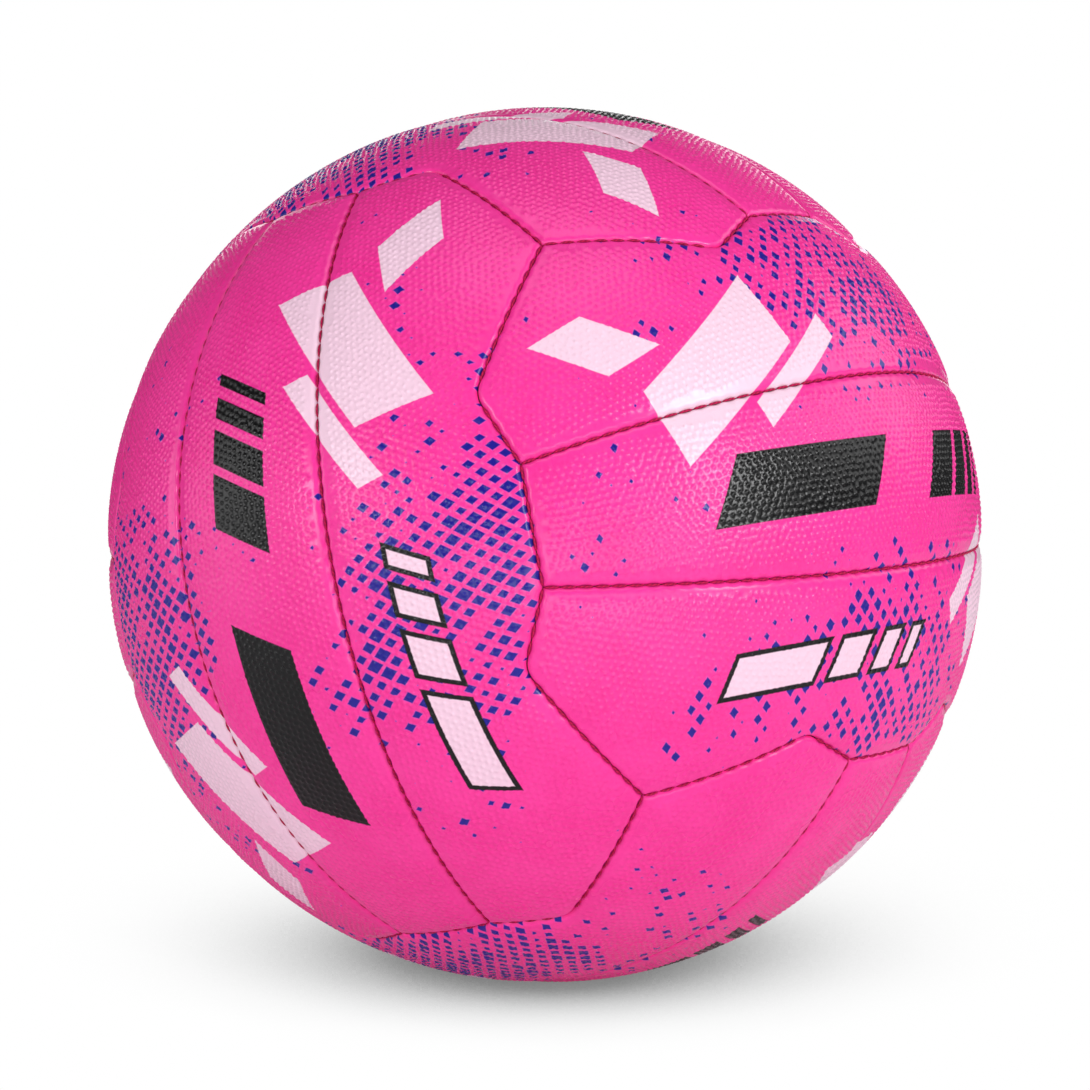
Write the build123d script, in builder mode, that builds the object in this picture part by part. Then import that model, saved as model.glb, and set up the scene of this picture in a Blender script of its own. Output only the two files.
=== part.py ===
from build123d import *
from math import cos, degrees, pi, radians, sin, sqrt, tan
import os

# Netball, 18 cut panels stitched edge to edge over a blown-up bladder.
# Millimetres and degrees. Origin at the ball's centre, +Z up, as it lies on the floor.

# The ball
ball_circumference = 700.0
panel_thickness = 2.2  # cover bonded to its cloth backing
seam_chamfer = 1.0  # how far each panel edge rolls down into its seam

# Panel layout, as angles seen from the ball's centre. Six faces, as on a cube, have three strips each.
strip_half_angle = 12.0  # middle strip's edge, from the strip's centre line
tee_angle = 53.5  # middle strip's end, along the strip from the face's centre
elbow_angle = 57.5  # outer strips' furthest point, along the strip
elbow_rise = 16.4  # the same point's height above the strip's centre plane

# Stitching
thread_size = 0.6
thread_clearance = 0.05  # to the rolled panel edges
thread_end_gap = 0.6  # where runs of stitching meet

# Bladder, blown up in flat zones round the valve's axis
bladder_wall = 0.6
bladder_zones = 36
bladder_clearance = 0.3  # inside the panels

# Valve
valve_stem_diameter = 7.6
valve_flange_diameter = 20.0
valve_flange_thickness = 1.2
valve_length = 15.0
valve_tail_diameter = 6.0
valve_floor = 1.2  # below the core
valve_recess = 0.4  # below the ball's surface
valve_clearance = 0.1
core_diameter = 4.4
needle_diameter = 2.1
needle_depth = 9.0
needle_funnel = 0.5

# How the ball lies on the floor, turned about X, then about its own Y and Z
ball_tilt_x = -7.5
ball_tilt_y = -10.3
ball_turn = 141.95

ball_radius = ball_circumference / (2 * pi)
ball_frame = Plane(Location((0, 0, 0), (ball_tilt_x, ball_tilt_y, ball_turn)))
centre = Vertex(0, 0, 0)

# Each face: name, outward direction, strip direction, then its two outer strips by side
faces = [
    ("front_right", (-1, 0, 0), (0, -1, 0), ("upper", "lower")),
    ("back_left", (1, 0, 0), (0, 1, 0), ("upper", "lower")),
    ("front_left", (0, 1, 0), (0, 0, 1), ("side", "front")),
    ("back_right", (0, -1, 0), (0, 0, 1), ("side", "rear")),
    ("top", (0, 0, 1), (1, 0, 0), ("front", "rear")),
    ("bottom", (0, 0, -1), (-1, 0, 0), ("front", "rear")),
]
valve_face = "back_right"
face_planes = {
    name: Plane(
        origin=(0, 0, 0),
        x_dir=ball_frame.from_local_coords(Vector(strip)),
        z_dir=ball_frame.from_local_coords(Vector(outward)),
    )
    for name, outward, strip, sides in faces
}

# Seam corners of a face, as slopes along and across its strips: seams on great circles are straight there
tee = (tan(radians(tee_angle)), tan(radians(strip_half_angle)))
elbow = (tan(radians(elbow_angle)), tan(radians(elbow_rise)) / cos(radians(elbow_angle)))
corner = (1.0, 1.0)
near_elbow = (elbow[1] / elbow[0], 1 / elbow[0])  # the next face's strips end in this face's side
near_tee = (tee[1] / tee[0], 1 / tee[0])

half_outline = [tee, elbow, corner, near_elbow, near_tee]
outer_outline = half_outline + [(-along, across) for along, across in reversed(half_outline)]
middle_outline = [tee, (-tee[0], tee[1]), (-tee[0], -tee[1]), (tee[0], -tee[1])]

valve_plane = face_planes[valve_face]
valve_axis = Axis((0, 0, 0), valve_plane.z_dir)
valve_section = Plane(
    origin=(0, 0, 0),
    x_dir=valve_plane.x_dir,
    z_dir=valve_plane.x_dir.cross(valve_plane.z_dir),
)
valve_hole_diameter = valve_stem_diameter + 2 * valve_clearance

os.makedirs("parts", exist_ok=True)

# Panels: a cone of sight from the ball's centre cuts each one out of the cover
cone_reach = 1.05 * ball_radius  # just outside the ball
poles_across = (90, 0, 0)
for face_name, outward, strip, sides in faces:
    face_plane = face_planes[face_name]
    outlines = {
        "middle": middle_outline,
        sides[0]: outer_outline,
        sides[1]: [(along, -across) for along, across in outer_outline],
    }
    for strip_name, outline in outlines.items():
        with BuildPart(face_plane) as panel:
            with BuildSketch(face_plane.offset(cone_reach)) as cut:
                with BuildLine():
                    Polyline(*[(along * cone_reach, across * cone_reach) for along, across in outline], close=True)
                make_face()
            loft(sections=[cut.sketch.face(), centre], ruled=True)
            Sphere(ball_radius, rotation=poles_across, mode=Mode.INTERSECT)
            Sphere(ball_radius - panel_thickness, rotation=poles_across, mode=Mode.SUBTRACT)
            outside = panel.faces().filter_by(GeomType.SPHERE).sort_by_distance((0, 0, 0))[-1]
            chamfer(outside.outer_wire().edges(), seam_chamfer)
            if face_name == valve_face and strip_name == "middle":
                with Locations((0, 0, ball_radius)):
                    Cylinder(valve_hole_diameter / 2, 4 * panel_thickness, mode=Mode.SUBTRACT)
        panel.part.label = f"{face_name}_{strip_name}_panel"
        export_step(panel.part, f"parts/{panel.part.label}.step")

# Stitching: a thread lies at the bottom of each seam, in runs from corner to corner
thread_depth = seam_chamfer - sqrt(2) * thread_clearance - thread_size / sqrt(2)
thread_radius = ball_radius - thread_depth
thread_end_angle = degrees(thread_end_gap / ball_radius)
for face_name, outward, strip, sides in faces:
    face_plane = face_planes[face_name]
    long_seams = [[(-tee[0], side * tee[1]), (tee[0], side * tee[1])] for side in (1, -1)]
    end_seams = [
        [(end * along, across) for along, across in (corner, elbow, tee)]
        + [(end * along, -across) for along, across in (tee, elbow, corner)]
        for end in (1, -1)
    ]
    for seam_name, seams in (("long", long_seams), ("end", end_seams)):
        with BuildPart() as thread:
            for seam in seams:
                points = [face_plane.from_local_coords(Vector(*slopes, 1).normalized()) for slopes in seam]
                for start, end in zip(points, points[1:]):
                    run_axis = Axis((0, 0, 0), start.cross(end))
                    first = start.rotate(run_axis, thread_end_angle)
                    across_run = Plane(
                        origin=first * thread_radius,
                        x_dir=first,
                        z_dir=first.cross(run_axis.direction),
                    )
                    with BuildSketch(across_run):
                        Rectangle(thread_size, thread_size, rotation=45)
                    revolve(axis=run_axis, revolution_arc=start.get_angle(end) - 2 * thread_end_angle)
        thread.part.label = f"{face_name}_{seam_name}_seam_thread"
        export_step(thread.part, f"parts/{thread.part.label}.step")

# Bladder: a hollow of revolution, flat at the valve, with the valve's hole through it
zone_half_angle = pi / bladder_zones
bladder_radius = ball_radius - panel_thickness - bladder_clearance
bladder_seat = bladder_radius * cos(zone_half_angle) - bladder_wall  # inner face of the flat at the valve
with BuildPart() as bladder:
    with BuildSketch(valve_section) as wall:
        RegularPolygon(bladder_radius, bladder_zones, rotation=degrees(zone_half_angle))
        RegularPolygon(
            bladder_seat,
            bladder_zones,
            major_radius=False,
            rotation=degrees(zone_half_angle),
            mode=Mode.SUBTRACT,
        )
        split(bisect_by=Plane.YZ)
    revolve(axis=valve_axis)
    with BuildSketch(valve_plane.offset(bladder_seat)):
        Circle(valve_hole_diameter / 2)
    extrude(amount=2 * bladder_wall, mode=Mode.SUBTRACT)
    with BuildSketch(valve_plane.offset(bladder_seat)):
        Circle(valve_flange_diameter / 2 + valve_clearance)
    extrude(amount=-valve_flange_thickness, mode=Mode.SUBTRACT)
bladder.part.label = "bladder"
export_step(bladder.part, "parts/bladder.step")

# Valve body: a flange inside the bladder, a stem out through the panel and a tapered tail
valve_top = ball_radius - valve_recess
valve_bottom = valve_top - valve_length
flange_top = bladder_seat - valve_clearance
core_bottom = valve_bottom + valve_floor
core_hole_diameter = core_diameter + 2 * valve_clearance
with BuildPart() as valve_body:
    with BuildSketch(valve_section):
        with BuildLine():
            Polyline(
                (0, valve_bottom),
                (valve_tail_diameter / 2, valve_bottom),
                (valve_stem_diameter / 2, flange_top - valve_flange_thickness),
                (valve_flange_diameter / 2, flange_top - valve_flange_thickness),
                (valve_flange_diameter / 2, flange_top),
                (valve_stem_diameter / 2, flange_top),
                (valve_stem_diameter / 2, valve_top),
                (core_hole_diameter / 2, valve_top),
                (core_hole_diameter / 2, core_bottom),
                (0, core_bottom),
                close=True,
            )
        make_face()
    revolve(axis=valve_axis)
valve_body.part.label = "valve_body"
export_step(valve_body.part, "parts/valve_body.step")

# Valve core: a soft plug with the needle's hole
with BuildPart() as valve_core:
    with BuildSketch(valve_plane.offset(core_bottom)):
        Circle(core_diameter / 2)
    extrude(amount=valve_top - core_bottom)
    with BuildSketch(valve_plane.offset(valve_top)):
        Circle(needle_diameter / 2)
    extrude(amount=-needle_depth, mode=Mode.SUBTRACT)
    mouth = valve_core.edges().filter_by(GeomType.CIRCLE).group_by(SortBy.RADIUS)[0].sort_by(valve_axis)[-1]
    chamfer(mouth, needle_funnel)
valve_core.part.label = "valve_core"
export_step(valve_core.part, "parts/valve_core.step")
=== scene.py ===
from math import acos, cos, pi, radians, sin, tan

import bpy
import numpy as np
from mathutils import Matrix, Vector, kdtree
from mathutils.geometry import delaunay_2d_cdt


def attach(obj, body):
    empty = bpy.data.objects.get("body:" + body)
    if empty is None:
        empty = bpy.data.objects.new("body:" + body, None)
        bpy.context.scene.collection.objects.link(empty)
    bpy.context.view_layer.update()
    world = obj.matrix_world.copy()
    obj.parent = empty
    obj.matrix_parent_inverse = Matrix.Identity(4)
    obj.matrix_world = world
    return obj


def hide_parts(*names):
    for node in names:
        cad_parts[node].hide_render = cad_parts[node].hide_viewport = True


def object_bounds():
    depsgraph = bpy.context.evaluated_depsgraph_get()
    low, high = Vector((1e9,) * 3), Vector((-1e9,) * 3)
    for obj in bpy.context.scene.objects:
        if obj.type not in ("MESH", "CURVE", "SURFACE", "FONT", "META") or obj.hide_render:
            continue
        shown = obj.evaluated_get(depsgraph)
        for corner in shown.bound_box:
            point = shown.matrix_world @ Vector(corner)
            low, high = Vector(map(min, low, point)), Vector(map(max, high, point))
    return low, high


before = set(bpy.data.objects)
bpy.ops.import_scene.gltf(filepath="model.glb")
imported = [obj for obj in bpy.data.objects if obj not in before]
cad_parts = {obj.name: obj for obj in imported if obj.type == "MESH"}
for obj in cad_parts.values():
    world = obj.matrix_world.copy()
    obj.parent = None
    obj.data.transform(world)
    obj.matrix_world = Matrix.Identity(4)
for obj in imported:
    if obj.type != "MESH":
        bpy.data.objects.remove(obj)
cadLow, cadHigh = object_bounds()

# A netball: eighteen grained panels sewn edge to edge over a bladder.
# Sizes are in millimetres until a mesh is made, which is in metres.
mm = 0.001
ballRadius = (cadHigh.z - cadLow.z) / 2 / mm


def linear(hexColour):
    parts = [int(hexColour[i:i + 2], 16) / 255 for i in (1, 3, 5)]
    return [c / 12.92 if c <= 0.04045 else ((c + 0.055) / 1.055) ** 2.4 for c in parts] + [1.0]


# Sockets go by name or by place: 1 to 4 of a MapRange are its From and To,
# 6 and 7 of a Mix its two colours
def addNode(tree, kind, links=None, **settings):
    node = tree.nodes.new("ShaderNode" + kind)
    for name, value in settings.items():
        setattr(node, name, value)
    for socket, value in (links or {}).items():
        source, outlet = value if isinstance(value, tuple) and len(value) == 2 else (value, None)
        if isinstance(source, bpy.types.Node):
            outlet = [o.enabled for o in source.outputs].index(True) if outlet is None else outlet
            tree.links.new(source.outputs[outlet], node.inputs[socket])
        else:
            node.inputs[socket].default_value = value
    return node


def newFinish(name):
    finish = bpy.data.materials.new(name)
    finish.use_nodes = True
    finish.node_tree.nodes.clear()
    return finish, finish.node_tree


def addPiece(name, nodeName, slotName, points, triangles, finish, cornerMaps):
    mesh = bpy.data.meshes.new(name)
    mesh.vertices.add(len(points))
    mesh.vertices.foreach_set("co", (points * mm).astype(np.float32).ravel())
    mesh.loops.add(triangles.size)
    mesh.loops.foreach_set("vertex_index", triangles.astype(np.int32).ravel())
    mesh.polygons.add(len(triangles))
    mesh.polygons.foreach_set("loop_start", np.arange(0, triangles.size, 3, dtype=np.int32))
    for mapName, corners in cornerMaps.items():  # one place for each corner of each triangle
        layer = mesh.uv_layers.new(name=mapName)
        layer.uv.foreach_set("vector", corners.astype(np.float32).ravel())
    mesh.update(calc_edges=True)
    mesh.validate()
    mesh.shade_smooth()
    mesh.materials.append(finish)
    piece = bpy.data.objects.new(name, mesh)
    bpy.context.scene.collection.objects.link(piece)
    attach(piece, "root")
    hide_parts(nodeName)


# How the ball lies on the floor, and its six faces: outward, along the strips, the two outer strips
ball = {"tiltX": -7.5, "tiltY": -10.3, "turn": 141.95}
faces = {
    "front_right": ((-1, 0, 0), (0, -1, 0), ("upper", "lower")),
    "back_left": ((1, 0, 0), (0, 1, 0), ("upper", "lower")),
    "front_left": ((0, 1, 0), (0, 0, 1), ("side", "front")),
    "back_right": ((0, -1, 0), (0, 0, 1), ("side", "rear")),
    "top": ((0, 0, 1), (1, 0, 0), ("front", "rear")),
    "bottom": ((0, 0, -1), (-1, 0, 0), ("front", "rear")),
}
valveFace = "back_right"


def turnAbout(axis, angle):
    i, j = [(1, 2), (2, 0), (0, 1)][axis]
    turn = np.eye(3)
    turn[i, i] = turn[j, j] = cos(radians(angle))
    turn[j, i] = sin(radians(angle))
    turn[i, j] = -turn[j, i]
    return turn


ballTurn = turnAbout(0, ball["tiltX"]) @ turnAbout(1, ball["tiltY"]) @ turnAbout(2, ball["turn"])
faceFrames = {
    name: ballTurn @ np.column_stack([strip, np.cross(outward, strip), outward])
    for name, (outward, strip, _) in faces.items()
}

# Panels, cut as on the solids, with the edges turned down into the stitching
panelCut = {
    "stripHalf": 12.0, "tee": 53.5, "elbow": 57.5, "elbowRise": 16.4,  # degrees at the centre
    "elbowTrim": 3.2, "elbowSteps": 9,  # how far from its point an elbow starts to round
    "thickness": 2.2,
    "edgeStep": 0.7,
    "gapShut": 0.09, "gapOpen": 0.15,  # half the seam's gap, between stitches and at one
    "rollShut": 1.15, "rollOpen": 1.50,  # radius of the turned edge
    "rollAngles": (18, 36, 54, 72, 90),
    "marginRows": (1.95,),  # the smooth margin between the turned edge and the grain
    "rowShare": 0.94,  # a row's point stays if it keeps this share of its distance from the seam
    "crown": 0.70, "crownReach": 4.0,  # how far panels swell from their seams
    "outerTilt": 25.0,  # middle of an outer strip, from its face's centre
    "liningStep": 7.0, "liningEdge": 2.0,
    "valveHole": 7.8, "holeSides": 48, "holeRoll": 0.6, "holeRows": (0.08, 0.25, 0.6),
}
grain = {
    "pitch": 1.75, "height": 0.24, "sizes": (0.92, 1.08),
    "foot": 0.66, "shoulder": 0.37, "shoulderRise": 0.62, "sides": 6,
    "jitter": 0.55, "spread": 0.97, "pushes": 4, "pushShare": 0.4,
    "edge": 2.75, "holeEdge": 1.7, "seed": 7,
}
stitching = {"pitch": 3.8, "reach": 3.5, "thread": 0.27, "taper": 5, "depth": 1.32, "dip": 0.42,
             "rings": 9, "sides": 8}
bakeSheet = {"margin": 3, "rightMargin": 8,  # millimetres, on the flattened panel
             "liningScale": 0.22, "liningShare": 0.25, "liningGap": 1}

tee = (tan(radians(panelCut["tee"])), tan(radians(panelCut["stripHalf"])))
elbow = (tan(radians(panelCut["elbow"])),
         tan(radians(panelCut["elbowRise"])) / cos(radians(panelCut["elbow"])))
corner = (1.0, 1.0)
nearElbow = (elbow[1] / elbow[0], 1 / elbow[0])
nearTee = (tee[1] / tee[0], 1 / tee[0])
trim = panelCut["elbowTrim"]
outerHalf = [(tee, 0), (elbow, trim), (corner, 0), (nearElbow, trim), (nearTee, 0)]
outerOutline = outerHalf + [((-along, across), cut) for (along, across), cut in reversed(outerHalf)]
middleOutline = [((along * tee[0], across * tee[1]), 0)
                 for along, across in ((1, 1), (-1, 1), (-1, -1), (1, -1))]


def direction(slopes):
    out = np.array([slopes[0], slopes[1], 1.0])
    return out / np.linalg.norm(out)


def seamRun(start, end, trimStart, trimEnd):
    angle = acos(float(np.clip(start @ end, -1, 1)))
    side = end - start * (start @ end)
    side = side / np.linalg.norm(side)
    first, last = trimStart / ballRadius, angle - trimEnd / ballRadius
    length = (last - first) * ballRadius
    return {"start": start, "side": side, "first": first, "last": last, "length": length,
            "stitches": max(1, round(length / stitching["pitch"]))}


def alongRun(run, share):
    at = run["first"] + (run["last"] - run["first"]) * np.asarray(share)
    return np.outer(np.cos(at), run["start"]) + np.outer(np.sin(at), run["side"])


def sewnLoop(outline):
    points, pull = [], []
    corners = [direction(slopes) for slopes, cut in outline]
    cuts = [cut for slopes, cut in outline]
    count = len(outline)
    for i in range(count):
        j, k = (i + 1) % count, (i + 2) % count
        run = seamRun(corners[i], corners[j], cuts[i], cuts[j])
        share = np.linspace(0, 1, max(2, round(run["length"] / panelCut["edgeStep"])) + 1)
        reach = alongRun(run, share)
        wave = 0.5 - 0.5 * np.cos(2 * pi * run["stitches"] * share)
        if not cuts[j]:  # the next run starts at this corner
            points.append(reach[:-1])
            pull.append(wave[:-1])
            continue
        onward = alongRun(seamRun(corners[j], corners[k], cuts[j], cuts[k]), [0.0])[0]
        t = np.linspace(0, 1, panelCut["elbowSteps"])[1:-1, None]
        bend = (1 - t) ** 2 * reach[-1] + 2 * t * (1 - t) * corners[j] + t ** 2 * onward
        points += [reach, bend / np.linalg.norm(bend, axis=1)[:, None]]
        pull += [wave, np.zeros(len(bend))]
    return np.vstack(points), np.concatenate(pull)


def toChart(points, tilt):
    c, s = cos(radians(tilt)), sin(radians(tilt))
    across, out = points[:, 1] * c - points[:, 2] * s, points[:, 1] * s + points[:, 2] * c
    turn, rise = np.arctan2(points[:, 0], out), np.arcsin(np.clip(across, -1, 1))
    return ballRadius * np.column_stack([turn, rise])


def fromChart(flat, tilt):
    c, s = cos(radians(tilt)), sin(radians(tilt))
    turn, rise = flat[:, 0] / ballRadius, flat[:, 1] / ballRadius
    along, across, out = np.cos(rise) * np.sin(turn), np.sin(rise), np.cos(rise) * np.cos(turn)
    return np.column_stack([along, across * c + out * s, out * c - across * s])


def edgeDistance(flat, loop, pull):
    tree = kdtree.KDTree(len(loop))
    for i, (x, y) in enumerate(loop):
        tree.insert((x, y, 0), i)
    tree.balance()
    near = np.array([tree.find((x, y, 0))[1] for x, y in flat])
    distance, pulled = np.full(len(flat), np.inf), np.zeros(len(flat))
    for step in (-1, 0):
        a = (near + step) % len(loop)
        b = (a + 1) % len(loop)
        way = loop[b] - loop[a]
        t = np.clip(((flat - loop[a]) * way).sum(1) / (way * way).sum(1), 0, 1)
        gap = np.linalg.norm(flat - loop[a] - way * t[:, None], axis=1)
        closer = gap < distance
        distance[closer] = gap[closer]
        pulled[closer] = (pull[a] + (pull[b] - pull[a]) * t)[closer]
    return distance, pulled


def insideLoop(flat, loop):
    inside = np.zeros(len(flat), bool)
    for (ax, ay), (bx, by) in zip(loop, np.roll(loop, -1, 0)):
        crosses = (flat[:, 1] < ay) != (flat[:, 1] < by)
        inside ^= crosses & (flat[:, 0] < ax + (flat[:, 1] - ay) / (by - ay + 1e-12) * (bx - ax))
    return inside


def fillet(depthAt, radius):
    inward = np.clip(radius - depthAt, 0, radius)
    return radius - np.sqrt(np.maximum(radius ** 2 - inward ** 2, 0))


def panelShape(outline, tilt, holeRadius, draw):
    loopPoints, pull = sewnLoop(outline)
    loop = toChart(loopPoints, tilt)
    ahead = np.roll(loop, -1, 0) - np.roll(loop, 1, 0)
    inward = np.column_stack([-ahead[:, 1], ahead[:, 0]]) / np.linalg.norm(ahead, axis=1)[:, None]
    gap = panelCut["gapShut"] + (panelCut["gapOpen"] - panelCut["gapShut"]) * pull
    roll = panelCut["rollShut"] + (panelCut["rollOpen"] - panelCut["rollShut"]) * pull
    edge = loop + inward * gap[:, None]
    circle = np.linspace(0, 2 * pi, panelCut["holeSides"], endpoint=False)
    ring = np.column_stack([np.cos(circle), np.sin(circle)])
    hole = ring * holeRadius if holeRadius else np.zeros((0, 2))

    # Rows down the turned edge, left out where a corner crowds them
    rows = []
    offsets = [gap + roll * (1 - cos(radians(angle))) for angle in panelCut["rollAngles"]]
    offsets += [np.full(len(loop), margin) for margin in panelCut["marginRows"]]
    for offset in offsets:
        row = loop + inward * offset[:, None]
        clear, _ = edgeDistance(row, loop, pull)
        rows.append(row[clear > panelCut["rowShare"] * offset])
    if holeRadius:
        rows += [ring * (holeRadius + more) for more in panelCut["holeRows"]]

    # Grain: a low dome on each place of a loose hexagonal grid
    low, high = loop.min(0), loop.max(0)
    pitch, rowPitch = grain["pitch"], grain["pitch"] * 3 ** 0.5 / 2
    columns, lines = np.arange(low[0], high[0], pitch), np.arange(low[1], high[1], rowPitch)
    grid = np.array([(x + pitch / 2 * (j % 2), y) for j, y in enumerate(lines) for x in columns])
    grid = grid + draw.uniform(-grain["jitter"], grain["jitter"], grid.shape)
    spread = pitch * grain["spread"]
    for turn in range(grain["pushes"]):  # neighbours push each other apart into a loose honeycomb
        tree = kdtree.KDTree(len(grid))
        for i, (x, y) in enumerate(grid):
            tree.insert((x, y, 0), i)
        tree.balance()
        push = np.zeros_like(grid)
        for i, (x, y) in enumerate(grid):
            for spot, j, apart in tree.find_range((x, y, 0), spread):
                if j != i and apart > 1e-6:
                    away = np.array((x - spot[0], y - spot[1]))
                    push[i] += away * (spread / apart - 1) * grain["pushShare"]
        grid = grid + push
    grid = grid[insideLoop(grid, loop)]
    clear, _ = edgeDistance(grid, loop, pull)
    holeEdge = holeRadius + grain["holeEdge"] if holeRadius else 0
    grid = grid[(clear > grain["edge"]) & (np.linalg.norm(grid, axis=1) > holeEdge)]
    sector = 2 * pi / grain["sides"]
    spin = draw.uniform(0, sector, len(grid))
    size = draw.uniform(*grain["sizes"], len(grid))
    domes, rises = [grid], [size]
    for radius, rise in ((grain["shoulder"], grain["shoulderRise"]), (grain["foot"], 0.0)):
        for k in range(grain["sides"]):
            way = spin + k * sector
            out = np.column_stack([np.cos(way), np.sin(way)])
            domes.append(grid + (radius * size)[:, None] * out)
            rises.append(rise * size)
    flat = np.vstack([edge, hole] + rows + domes)
    rise = np.zeros(len(flat))
    rise[-sum(map(len, rises)):] = np.concatenate(rises) * grain["height"]

    distance, pulled = edgeDistance(flat, loop, pull)
    gapAt = panelCut["gapShut"] + (panelCut["gapOpen"] - panelCut["gapShut"]) * pulled
    rollAt = panelCut["rollShut"] + (panelCut["rollOpen"] - panelCut["rollShut"]) * pulled
    crown = panelCut["crown"] * np.exp(-distance / panelCut["crownReach"])
    depth = fillet(distance - gapAt, rollAt) + crown
    if holeRadius:
        depth = depth + fillet(np.linalg.norm(flat, axis=1) - holeRadius, panelCut["holeRoll"])
    reach = ballRadius - grain["height"] * grain["sizes"][1] - depth + rise

    def triangulate(places):
        edges = [(len(edge) + i, len(edge) + (i + 1) % len(hole)) for i in range(len(hole))]
        faceLoops = [list(range(len(edge)))]
        made = delaunay_2d_cdt([Vector(p) for p in places], edges, faceLoops, 1, 1e-6, False)
        corners = np.array(made[2])
        if len(made[0]) != len(places) or corners.shape[1] != 3:
            raise RuntimeError("the panel's points were merged")
        # Slivers outside the loop have all three corners on it and run against its direction
        first, second, third = places[np.sort(corners, axis=1)].transpose(1, 0, 2)
        turn = np.linalg.det(np.stack([second - first, third - first], 1))
        inside = (corners.max(1) >= len(edge)) | (turn > 0)
        inside &= np.linalg.norm(places[corners].mean(1), axis=1) > holeRadius
        return corners[inside]

    # Lining behind the panel, and the cut edge between the two
    step = panelCut["liningStep"]
    columns, lines = np.arange(low[0], high[0], step), np.arange(low[1], high[1], step)
    coarse = np.array([(x, y) for x in columns for y in lines])
    coarse = coarse[insideLoop(coarse, loop)]
    clear, _ = edgeDistance(coarse, loop, pull)
    holeEdge = holeRadius + panelCut["liningEdge"] if holeRadius else 0
    coarse = coarse[(clear > panelCut["liningEdge"]) & (np.linalg.norm(coarse, axis=1) > holeEdge)]
    back = np.vstack([edge, hole, coarse])
    front, behind = triangulate(flat), triangulate(back)[:, ::-1] + len(flat)
    i = np.arange(len(edge))
    j = np.roll(i, -1)
    base = len(flat)
    wall = [np.column_stack([i, base + i, base + j]), np.column_stack([i, base + j, j])]
    if holeRadius:
        i = np.arange(len(hole)) + len(edge)
        j = np.roll(i, -1)
        wall += [np.column_stack([j, base + j, base + i]), np.column_stack([j, base + i, i])]
    wall = np.vstack(wall)
    points = np.vstack([
        fromChart(flat, tilt) * reach[:, None],
        fromChart(back, tilt) * (ballRadius - panelCut["thickness"]),
    ])

    # Bake map: the front in two halves, one above the other, with a small copy of the lining
    places = np.vstack([flat, back])
    places[base:base + len(edge)] -= inward  # gives the cut edge a width
    front3, wall3, behind3 = places[front], places[wall], np.vstack([flat, back])[behind]
    margin = bakeSheet["margin"]
    tall = high[1] - low[1] + 2 * margin
    side = 2 * tall + bakeSheet["liningShare"] * tall
    maps = []
    for part in (front3, wall3):
        right = part.mean(1)[:, None, :1] > 0
        turned = np.where(right, part, -part)
        shift = np.where(right, [margin, margin - low[1]], [margin, margin + high[1] + tall])
        maps.append(turned + shift)
    liningCorner = [margin, 2 * tall + bakeSheet["liningGap"]]
    maps.append((behind3 - low) * bakeSheet["liningScale"] + liningCorner)
    bakeMap = np.vstack(maps) / max(side, high[0] + bakeSheet["rightMargin"])
    return points, np.vstack([front, wall, behind]), bakeMap


# Printed polyurethane cover, its grain moulded in: satin, with a soft sheen on the flats
# between the domes and ink that stays crisp to about a tenth of a millimetre
coverPrint = {
    "pink": "#FC3EA1", "pinkDeep": "#F43095", "navy": "#1F1A8C", "bleed": "#D94FB4",
    "pale": "#F6D0E4", "black": "#0A090B",
    "mottle": 16.0, "fleck": 0.9, "uneven": (0.12, 0.40),  # where their product turns the pink deep
    "markPitch": (4.6, 2.8), "markSize": 0.52,  # lozenges along the strips, rows, share of a cell
    "markGrow": 0.35, "markNone": -0.06,  # where a lozenge is full size, and its size at nothing
    "swellFrom": (0.6, 1.3), "swell": 0.14,
    "cloudHalf": (80.0, 14.0), "outward": (8.0, 38.0),  # crowded midway along a face's outer edges
    "cloud": 30.0, "cloudChange": (-0.75, 0.55), "crowding": 1.25,
    "noiseSpan": (0.3, 0.7),  # between these lies most of a noise's range
    "inkEdge": 0.12, "bleedWidth": 0.2, "outline": 1.2,
    "skin": 0.35, "skinStrength": 0.25, "skinDepth": 0.03,  # near 0.1 mm, drawn coarser to show
    "roughness": (0.22, 0.30), "ior": 1.5, "gloss": 0.36,
}
# Slanted blocks: middle, half length and half width, angle along the strip, angle of the cut ends
paleBlocks = [
    ((52.0, 29.0), (22.0, 9.5), -36.0, 106.0),
    ((31.0, 26.0), (17.0, 3.2), -36.0, 106.0),
    ((82.0, 38.0), (10.0, 6.0), 30.0, 128.0),
]
blackBlocks = [
    ((-36.0, 0.0), (23.0, 8.0), 0.0, 62.0),
    ((16.0, 0.0), (6.5, 8.0), 0.0, 62.0),
    ((29.0, 0.0), (4.2, 8.0), 0.0, 62.0),
    ((38.6, 0.0), (2.6, 8.0), 0.0, 62.0),
    ((45.8, 0.0), (1.5, 8.0), 0.0, 62.0),
]
flashBlocks = [
    ((-50.0, -42.0), (14.0, 5.5), 0.0, 62.0),
    ((-27.0, -42.0), (6.2, 5.5), 0.0, 62.0),
    ((-13.6, -42.0), (4.4, 5.5), 0.0, 62.0),
    ((-3.2, -42.0), (3.2, 5.5), 0.0, 62.0),
]

coverFinish, tree = newFinish("moulded_polyurethane_cover")
printPlace = addNode(tree, "UVMap", uv_map="printMap")
objectPlace = addNode(tree, "TexCoord")
place = addNode(tree, "SeparateXYZ", {0: printPlace})
side = addNode(tree, "Math", {0: (place, 1)}, operation="SIGN")
outward = addNode(tree, "Math", {0: (place, 1)}, operation="ABSOLUTE")
folded = addNode(tree, "Math", {0: (place, 0), 1: side}, operation="MULTIPLY")
folded = addNode(tree, "Math", {0: folded, 1: -1.0}, operation="MULTIPLY")
foldedPlace = addNode(tree, "CombineXYZ", {0: folded, 1: outward})


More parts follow.
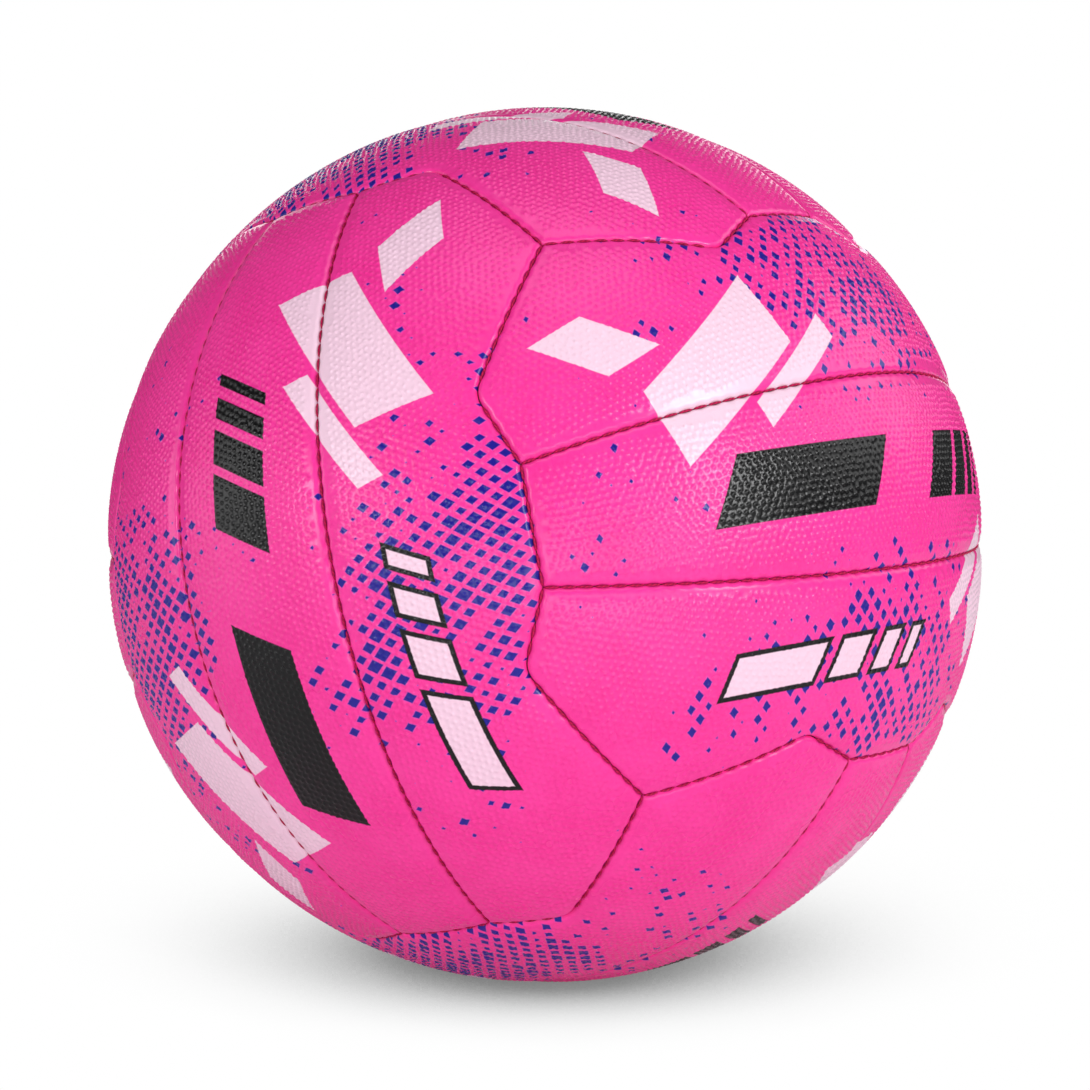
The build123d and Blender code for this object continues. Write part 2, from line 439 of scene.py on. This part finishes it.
def blockDistance(tree, source, blocks):
    nearest = None
    for (along, across), halves, angle, endAngle in blocks:
        worst = None
        endHalf = halves[0] * sin(radians(endAngle))
        for half, turned in ((halves[1], angle + 90), (endHalf, angle + endAngle - 90)):
            normal = (cos(radians(turned)), sin(radians(turned)), 0.0)
            middle = along * normal[0] + across * normal[1]
            reach = addNode(tree, "VectorMath", {0: source, 1: normal}, operation="DOT_PRODUCT")
            reach = addNode(tree, "Math", {0: (reach, 1), 1: middle}, operation="SUBTRACT")
            reach = addNode(tree, "Math", {0: reach}, operation="ABSOLUTE")
            reach = addNode(tree, "Math", {0: reach, 1: half}, operation="SUBTRACT")
            if worst is not None:
                reach = addNode(tree, "Math", {0: worst, 1: reach}, operation="MAXIMUM")
            worst = reach
        if nearest is not None:
            worst = addNode(tree, "Math", {0: nearest, 1: worst}, operation="MINIMUM")
        nearest = worst
    return nearest


def inkOver(tree, ground, ink, distance, edge, inset=0.0):
    cover = addNode(tree, "MapRange",
                    {0: distance, 1: edge - inset, 2: -edge - inset, 3: 0.0, 4: 1.0})
    return addNode(tree, "Mix", {0: cover, 6: ground, 7: ink}, data_type="RGBA")


# Ground: dyed pink, a little uneven
onBall = (objectPlace, "Object")
mottle = addNode(tree, "TexNoise",
                 {"Vector": onBall, "Scale": 1 / (coverPrint["mottle"] * mm), "Detail": 3.0})
fleck = addNode(tree, "TexNoise",
                {"Vector": onBall, "Scale": 1 / (coverPrint["fleck"] * mm), "Detail": 2.0})
uneven = addNode(tree, "Math", {0: mottle, 1: fleck}, operation="MULTIPLY")
least, most = coverPrint["uneven"]
uneven = addNode(tree, "MapRange", {0: uneven, 1: least, 2: most, 3: 0.0, 4: 1.0})
pink, pinkDeep = linear(coverPrint["pink"]), linear(coverPrint["pinkDeep"])
colour = addNode(tree, "Mix", {0: uneven, 6: pink, 7: pinkDeep}, data_type="RGBA")

# Lozenges on a slanted lattice, thinning out in a ragged cloud and swelling to meet
# where it is thickest
cells, lozenge = [], None
for way in (1, -1):
    slope = (way / coverPrint["markPitch"][0], 1 / coverPrint["markPitch"][1] / 2, 0.0)
    at = addNode(tree, "VectorMath", {0: printPlace, 1: slope}, operation="DOT_PRODUCT")
    cells.append(addNode(tree, "Math", {0: at}, operation="FLOOR"))
    part = addNode(tree, "Math", {0: at}, operation="FRACT")
    part = addNode(tree, "Math", {0: part, 1: 0.5}, operation="SUBTRACT")
    part = addNode(tree, "Math", {0: part}, operation="ABSOLUTE")
    if lozenge is not None:
        part = addNode(tree, "Math", {0: lozenge, 1: part}, operation="MAXIMUM")
    lozenge = part
markPlace = addNode(tree, "CombineXYZ", {0: cells[0], 1: cells[1]})
markChance = addNode(tree, "TexWhiteNoise", {"Vector": markPlace}, noise_dimensions="2D")
strong = addNode(tree, "Math", {0: folded}, operation="ABSOLUTE")
far, near = coverPrint["cloudHalf"]
strong = addNode(tree, "MapRange", {0: strong, 1: far, 2: near, 3: 0.0, 4: 1.0})
near, far = coverPrint["outward"]
rim = addNode(tree, "MapRange", {0: outward, 1: near, 2: far, 3: 0.0, 4: 1.0})
strong = addNode(tree, "Math", {0: strong, 1: rim}, operation="MULTIPLY")
cloud = addNode(tree, "TexNoise",
                {"Vector": onBall, "Scale": 1 / (coverPrint["cloud"] * mm), "Detail": 4.0})
noiseLow, noiseHigh = coverPrint["noiseSpan"]
thin, thick = coverPrint["cloudChange"]
cloud = addNode(tree, "MapRange", {0: cloud, 1: noiseLow, 2: noiseHigh, 3: thin, 4: thick})
density = addNode(tree, "Math", {0: strong, 1: coverPrint["crowding"], 2: cloud},
                  operation="MULTIPLY_ADD")
size = addNode(tree, "Math", {0: density, 1: markChance}, operation="SUBTRACT")
least, most = coverPrint["swellFrom"]
swell = addNode(tree, "MapRange", {0: size, 1: least, 2: most, 3: 0.0, 4: coverPrint["swell"]})
size = addNode(tree, "MapRange", {0: size, 1: 0.0, 2: coverPrint["markGrow"],
                                  3: coverPrint["markNone"], 4: coverPrint["markSize"] / 2})
size = addNode(tree, "Math", {0: size, 1: swell}, operation="ADD")
lozengeEdge = addNode(tree, "Math", {0: lozenge, 1: size}, operation="SUBTRACT")
lozengeEdge = addNode(tree, "Math", {0: lozengeEdge, 1: coverPrint["markPitch"][0]},
                      operation="MULTIPLY")
inkEdge = coverPrint["inkEdge"]
colour = inkOver(tree, colour, linear(coverPrint["bleed"]), lozengeEdge, inkEdge,
                 -coverPrint["bleedWidth"])
colour = inkOver(tree, colour, linear(coverPrint["navy"]), lozengeEdge, inkEdge)

paleEdge = blockDistance(tree, foldedPlace, paleBlocks)
colour = inkOver(tree, colour, linear(coverPrint["pale"]), paleEdge, inkEdge)
flashEdge = blockDistance(tree, printPlace, flashBlocks)
blackEdge = blockDistance(tree, printPlace, blackBlocks)
darkEdge = addNode(tree, "Math", {0: flashEdge, 1: blackEdge}, operation="MINIMUM")
colour = inkOver(tree, colour, linear(coverPrint["black"]), darkEdge, inkEdge)
colour = inkOver(tree, colour, linear(coverPrint["pale"]), flashEdge, inkEdge,
                 coverPrint["outline"])

smooth, rough = coverPrint["roughness"]
sheen = addNode(tree, "MapRange", {0: mottle, 1: noiseLow, 2: noiseHigh, 3: smooth, 4: rough})
skin = addNode(tree, "TexNoise",
               {"Vector": onBall, "Scale": 1 / (coverPrint["skin"] * mm), "Detail": 2.0})
skinBump = addNode(tree, "Bump", {"Strength": coverPrint["skinStrength"],
                                  "Distance": coverPrint["skinDepth"] * mm, "Height": skin})
shader = addNode(tree, "BsdfPrincipled", {
    "Base Color": colour, "Roughness": sheen, "IOR": coverPrint["ior"],
    "Specular IOR Level": coverPrint["gloss"], "Normal": skinBump})
addNode(tree, "OutputMaterial", {0: shader})
print("cover finish made")

draw = np.random.default_rng(grain["seed"])
holeRadius = panelCut["valveHole"] / 2
shapes = {
    "middle": panelShape(middleOutline, 0.0, 0.0, draw),
    "outer": panelShape(outerOutline, panelCut["outerTilt"], 0.0, draw),
    "valve": panelShape(middleOutline, 0.0, holeRadius, draw),
}
print("panel shapes made:", {kind: len(shape[1]) for kind, shape in shapes.items()})
for faceName, (_, _, sides) in faces.items():
    middleKind = "valve" if faceName == valveFace else "middle"
    strips = (("middle", middleKind, 1), (sides[0], "outer", 1), (sides[1], "outer", -1))
    for strip, kind, flip in strips:
        points, triangles, bakeMap = shapes[kind]
        points = points * [flip, flip, 1]
        unit = points / np.linalg.norm(points, axis=1)[:, None]
        printMap = toChart(unit, 0.0)
        name = f"{faceName}_{strip}"
        cornerMaps = {"printMap": printMap[triangles.ravel()], "OFBake": bakeMap.reshape(-1, 2)}
        addPiece(f"{name}_cover", f"{name}_panel", "cover_panel",
                 points @ faceFrames[faceName].T, triangles, coverFinish, cornerMaps)
print("panels sewn:", len(faces) * 3)

# Waxed polyester thread, twisted: a dull crimson line with fine slanted ribs, and painted shade, a
# darker crimson, in the grooves between the ribs
threadLook = {"colour": "#C81053", "paintedGrooveShade": "#930A3C", "roughness": 0.6, "ior": 1.55, "gloss": 0.2,
              "twist": 0.55, "ribStrength": 0.6, "ribDepth": 0.06}
waveUnit = 20  # a wave texture of scale 1 turns this many radians in a unit of length
threadFinish, tree = newFinish("waxed_polyester_thread")
threadPlace = addNode(tree, "UVMap", uv_map="threadMap")
ply = addNode(tree, "TexWave",
              {"Vector": threadPlace, "Scale": 2 * pi / threadLook["twist"] / waveUnit},
              wave_type="BANDS", bands_direction="DIAGONAL")
paintedGrooveShade, crimson = linear(threadLook["paintedGrooveShade"]), linear(threadLook["colour"])
# The darker crimson is painted shade, laid in the twist's grooves where the bump is lowest
threadColour = addNode(tree, "Mix", {0: ply, 6: paintedGrooveShade, 7: crimson}, data_type="RGBA")
plyBump = addNode(tree, "Bump", {"Strength": threadLook["ribStrength"],
                                 "Distance": threadLook["ribDepth"] * mm, "Height": ply})
shader = addNode(tree, "BsdfPrincipled", {
    "Base Color": threadColour, "Roughness": threadLook["roughness"], "IOR": threadLook["ior"],
    "Specular IOR Level": threadLook["gloss"], "Normal": plyBump})
addNode(tree, "OutputMaterial", {0: shader})


def stitchMesh(runs):
    points, triangles, spots = [], [], []
    rings, sideCount, half = stitching["rings"], stitching["sides"], stitching["reach"] / 2
    around = np.linspace(0, 2 * pi, sideCount, endpoint=False)
    reach = np.sin(np.linspace(-pi / 2, pi / 2, rings + 2))[1:-1]  # rings crowd to the rounded ends
    base = 0
    for run in runs:
        for k in range(run["stitches"]):
            centreShare = (k + 0.5) / run["stitches"]
            middle = alongRun(run, centreShare + reach * half / run["length"])
            ahead = np.gradient(middle, axis=0)
            lateral = np.cross(middle, ahead)
            lateral = lateral / np.linalg.norm(lateral, axis=1)[:, None]
            depth = stitching["depth"] + stitching["dip"] * reach ** 2
            thick = stitching["thread"] * np.sqrt(1 - np.abs(reach) ** stitching["taper"])
            centre = middle * (ballRadius - depth)[:, None]
            ring = (np.cos(around)[None, :, None] * lateral[:, None]
                    + np.sin(around)[None, :, None] * middle[:, None])
            shell = centre[:, None] + ring * thick[:, None, None]
            tips = alongRun(run, [centreShare + end * half / run["length"] for end in (-1, 1)])
            tips = tips * (ballRadius - stitching["depth"] - stitching["dip"])
            points.append(np.vstack([shell.reshape(-1, 3), tips]))
            for r in range(rings - 1):
                for a in range(sideCount):
                    b = (a + 1) % sideCount
                    low, high = base + r * sideCount, base + (r + 1) * sideCount
                    triangles += [(low + a, low + b, high + b), (low + a, high + b, high + a)]
            last, tip = base + (rings - 1) * sideCount, base + rings * sideCount
            for a in range(sideCount):
                b = (a + 1) % sideCount
                triangles += [(base + b, base + a, tip), (last + a, last + b, tip + 1)]
            flat = np.stack(np.broadcast_arrays(reach[:, None] * half,
                                                around[None] * stitching["thread"]), -1)
            spots.append(np.vstack([flat.reshape(-1, 2), [[-half, 0], [half, 0]]]))
            base += rings * sideCount + 2
    return np.vstack(points), np.array(triangles), np.vstack(spots)


def teeAt(end, way):
    return direction((end * tee[0], way * tee[1]))


longRuns = [seamRun(teeAt(-1, way), teeAt(1, way), 0, 0) for way in (1, -1)]
endRuns = []
for end in (1, -1):
    endRuns.append(seamRun(teeAt(end, 1), teeAt(end, -1), 0, 0))
    for way in (1, -1):
        stops = [direction((end * along, way * across)) for along, across in (tee, elbow, corner)]
        endRuns += [seamRun(stops[0], stops[1], 0, trim), seamRun(stops[1], stops[2], trim, 0)]
stitches = {"long": stitchMesh(longRuns), "end": stitchMesh(endRuns)}
for faceName in faces:
    for seam, (points, triangles, spots) in stitches.items():
        addPiece(f"{faceName}_{seam}_stitches", f"{faceName}_{seam}_seam_thread", "seam_thread",
                 points @ faceFrames[faceName].T, triangles, threadFinish,
                 {"threadMap": spots[triangles.ravel()]})
print("stitches laid:", len(faces) * sum(run["stitches"] for run in longRuns + endRuns))

# Bladder and valve, turned about the valve's axis
bladder = {"wall": 0.6, "clearance": 0.3, "flatHalf": 5.0, "sides": 96, "zones": 48}
valve = {
    "stem": 7.6, "flange": 20.0, "flangeThickness": 1.2, "length": 15.0, "tail": 6.0, "floor": 1.2,
    "recess": 0.4, "clearance": 0.1, "core": 4.4, "needle": 2.1, "needleDepth": 9.0, "sides": 64,
    "bodyRound": 0.35, "coreRound": 0.45,
    "roundSteps": 5, "roundMost": 0.45,  # no rounding takes more than this share of an edge
}


def softProfile(corners, radius):
    soft = [corners[0]]
    for before, at, after in zip(corners, corners[1:], corners[2:]):
        at, ways = np.array(at), [np.array(p) - at for p in (before, after)]
        cuts = [at + way * min(radius / np.linalg.norm(way), valve["roundMost"]) for way in ways]
        for t in np.linspace(0, 1, valve["roundSteps"]):
            soft.append(tuple((1 - t) ** 2 * cuts[0] + 2 * t * (1 - t) * at + t ** 2 * cuts[1]))
    return soft + [corners[-1]]


def latheMesh(profile, sideCount):
    around = np.linspace(0, 2 * pi, sideCount, endpoint=False)
    body = np.array(profile[1:-1])
    ring = np.stack([np.cos(around), np.sin(around)], -1)
    heights = np.broadcast_to(body[:, None, 1:], (len(body), sideCount, 1))
    shell = np.concatenate([body[:, None, :1] * ring, heights], 2)
    points = np.vstack([shell.reshape(-1, 3), [[0, 0, profile[0][1]], [0, 0, profile[-1][1]]]])
    a = np.arange(sideCount)
    b = np.roll(a, -1)
    triangles = []
    for r in range(len(body) - 1):
        low, high = r * sideCount, (r + 1) * sideCount
        triangles += [np.column_stack([low + a, low + b, high + b]),
                      np.column_stack([low + a, high + b, high + a])]
    last, tip = (len(body) - 1) * sideCount, len(body) * sideCount
    triangles += [np.column_stack([b, a, np.full(sideCount, tip)]),
                  np.column_stack([last + a, last + b, np.full(sideCount, tip + 1)])]
    return points, np.vstack(triangles)


# Moulded butyl rubber: dark, dull and faintly bloomed, with a fine stipple off the mould
rubberLook = {"black": "#1D1C1F", "bloom": "#38363B", "bloomSize": 3.0,
              "stipple": 0.4, "stippleStrength": 0.4, "stippleDepth": 0.05,
              "roughness": 0.55, "ior": 1.52}
rubberFinish, tree = newFinish("moulded_butyl_rubber")
onRubber = (addNode(tree, "TexCoord"), "Object")
bloom = addNode(tree, "TexNoise",
                {"Vector": onRubber, "Scale": 1 / (rubberLook["bloomSize"] * mm), "Detail": 4.0})
stipple = addNode(tree, "TexNoise",
                  {"Vector": onRubber, "Scale": 1 / (rubberLook["stipple"] * mm)})
black, bloomed = linear(rubberLook["black"]), linear(rubberLook["bloom"])
rubberColour = addNode(tree, "Mix", {0: bloom, 6: black, 7: bloomed}, data_type="RGBA")
stippleBump = addNode(tree, "Bump", {
    "Strength": rubberLook["stippleStrength"], "Distance": rubberLook["stippleDepth"] * mm,
    "Height": stipple})
shader = addNode(tree, "BsdfPrincipled", {
    "Base Color": rubberColour, "Roughness": rubberLook["roughness"], "IOR": rubberLook["ior"],
    "Normal": stippleBump})
addNode(tree, "OutputMaterial", {0: shader})

bladderRadius = ballRadius - panelCut["thickness"] - bladder["clearance"]
flatHalf = radians(bladder["flatHalf"])
flatTop = bladderRadius * cos(flatHalf)
seat = flatTop - bladder["wall"]  # inside of the flat that the valve's flange lies against
valveTop = ballRadius - valve["recess"]
valveBottom = valveTop - valve["length"]
flangeTop = seat - valve["clearance"]
flangeBottom = flangeTop - valve["flangeThickness"]
coreBottom = valveBottom + valve["floor"]
needleBottom = valveTop - valve["needleDepth"]
tail, stem, flange = valve["tail"] / 2, valve["stem"] / 2, valve["flange"] / 2
core, needle = valve["core"] / 2, valve["needle"] / 2
coreHole = core + valve["clearance"]
sweep = np.linspace(-pi / 2, pi / 2 - flatHalf, bladder["zones"])
outside = [(bladderRadius * cos(at), bladderRadius * sin(at)) for at in sweep[1:]]
inside = [(r * (1 - bladder["wall"] / bladderRadius), h * seat / (seat + bladder["wall"]))
          for r, h in outside]
bladderProfile = ([(0, -bladderRadius)] + outside
                  + [(holeRadius, seat + bladder["wall"]), (holeRadius, seat)]
                  + inside[::-1] + [(0, -seat)])
valveProfile = softProfile([
    (0, valveBottom), (tail, valveBottom), (stem, flangeBottom), (flange, flangeBottom),
    (flange, flangeTop), (stem, flangeTop), (stem, valveTop), (coreHole, valveTop),
    (coreHole, coreBottom), (0, coreBottom)], valve["bodyRound"])
coreProfile = softProfile([
    (0, coreBottom), (core, coreBottom), (core, valveTop), (needle, valveTop),
    (needle, needleBottom), (0, needleBottom)], valve["coreRound"])
for name, profile, sideCount in (("bladder", bladderProfile, bladder["sides"]),
                                 ("valve_body", valveProfile, valve["sides"]),
                                 ("valve_core", coreProfile, valve["sides"])):
    points, triangles = latheMesh(profile, sideCount)
    addPiece(f"{name}_rubber", name, name,
             points @ faceFrames[valveFace].T, triangles, rubberFinish, {})
print("bladder and valve made")

# Stage: a pale floor seen as white with the ball's soft shade on it, and soft light from most sides
stage = {
    "floor": "#ECECED", "floorSize": 4.0, "sky": 0.08,
    "shadeTilt": 40.0, "shadeReach": 0.35,  # the shade falls off sooner towards the front
    "shadeDeep": 0.27, "shadeNone": 0.76, "shadeMost": 0.90, "shadeFade": 2.0, "shadeSamples": 16,
}
lamps = {
    "keySoftbox": {"at": (0.65, -0.66, 0.30), "size": (0.27, 0.27), "watts": 3.4},
    "fillSoftbox": {"at": (-0.69, -0.65, 0.22), "size": (0.24, 0.26), "watts": 2.1},
    "sideRight": {"at": (0.90, 0.08, 0.44), "size": (0.90, 0.48), "watts": 2.5},
    "sideLeft": {"at": (-0.98, -0.05, 0.15), "size": (0.40, 0.50), "watts": 1.3},
    "lowStrip": {"at": (0.05, -0.85, -0.01), "size": (0.90, 0.16), "watts": 2.2},
    "topSoftbox": {"at": (0.00, -0.30, 1.00), "size": (0.70, 0.70), "watts": 2.6},
    "backSoftbox": {"at": (0.00, 1.05, 0.25), "size": (0.90, 0.60), "watts": 3.6},
}
view = {"elevation": 5.0, "distance": 6.635, "lens": 94.9, "sensor": 36.0}  # distance in ball radii

floorFinish, tree = newFinish("matt_painted_floor")
path = addNode(tree, "LightPath")
# The ball is lit by plain pale paint, whatever shade is seen on the floor
tilt = radians(stage["shadeTilt"])
lean = addNode(tree, "CombineXYZ", {0: 0.0, 1: -sin(tilt), 2: cos(tilt)})
shade = addNode(tree, "AmbientOcclusion", {"Distance": stage["shadeReach"], "Normal": lean},
                samples=stage["shadeSamples"])
shade = addNode(tree, "MapRange", {0: (shade, "AO"), 1: stage["shadeDeep"], 2: stage["shadeNone"],
                                   3: stage["shadeMost"], 4: 0.0})
shade = addNode(tree, "Math", {0: shade, 1: stage["shadeFade"]}, operation="POWER")
shade = addNode(tree, "Math", {0: 1.0, 1: shade}, operation="SUBTRACT")
white = addNode(tree, "Emission", {"Color": (1, 1, 1, 1), "Strength": shade})
paint = addNode(tree, "BsdfDiffuse", {"Color": linear(stage["floor"])})
floorMix = addNode(tree, "MixShader", {0: (path, "Is Camera Ray"), 1: paint, 2: white})
addNode(tree, "OutputMaterial", {0: floorMix})
half = stage["floorSize"] / 2
floorMesh = bpy.data.meshes.new("studio_floor")
floorCorners = [(-half, -half, 0), (half, -half, 0), (half, half, 0), (-half, half, 0)]
floorMesh.from_pydata(floorCorners, [], [(0, 1, 2, 3)])
floorMesh.materials.append(floorFinish)
floor = bpy.data.objects.new("studio_floor", floorMesh)
floor.location.z = cadLow.z
bpy.context.scene.collection.objects.link(floor)

world = bpy.data.worlds.new("studio")
world.use_nodes = True
tree = world.node_tree
tree.nodes.clear()
path = addNode(tree, "LightPath")
strength = addNode(tree, "MapRange",
                   {0: (path, "Is Camera Ray"), 1: 0.0, 2: 1.0, 3: stage["sky"], 4: 1.0})
sky = addNode(tree, "Background", {0: (1, 1, 1, 1), 1: strength})
addNode(tree, "OutputWorld", {0: sky})
bpy.context.scene.world = world

for name, lamp in lamps.items():
    light = bpy.data.lights.new(name, "AREA")
    light.shape = "RECTANGLE"
    light.size, light.size_y = lamp["size"]
    light.energy = lamp["watts"]
    holder = bpy.data.objects.new(name, light)
    holder.location = lamp["at"]
    holder.rotation_euler = Vector(lamp["at"]).to_track_quat("Z", "Y").to_euler()
    bpy.context.scene.collection.objects.link(holder)

camera = bpy.data.objects.new("camera", bpy.data.cameras.new("camera"))
camera.data.lens = view["lens"]
camera.data.sensor_width = view["sensor"]
lift = radians(view["elevation"])
camera.location = Vector((0, -cos(lift), sin(lift))) * view["distance"] * ballRadius * mm
camera.rotation_euler = camera.location.to_track_quat("Z", "Y").to_euler()
bpy.context.scene.collection.objects.link(camera)
bpy.context.scene.camera = camera
bpy.context.scene.view_settings.view_transform = "Standard"
print("stage set")
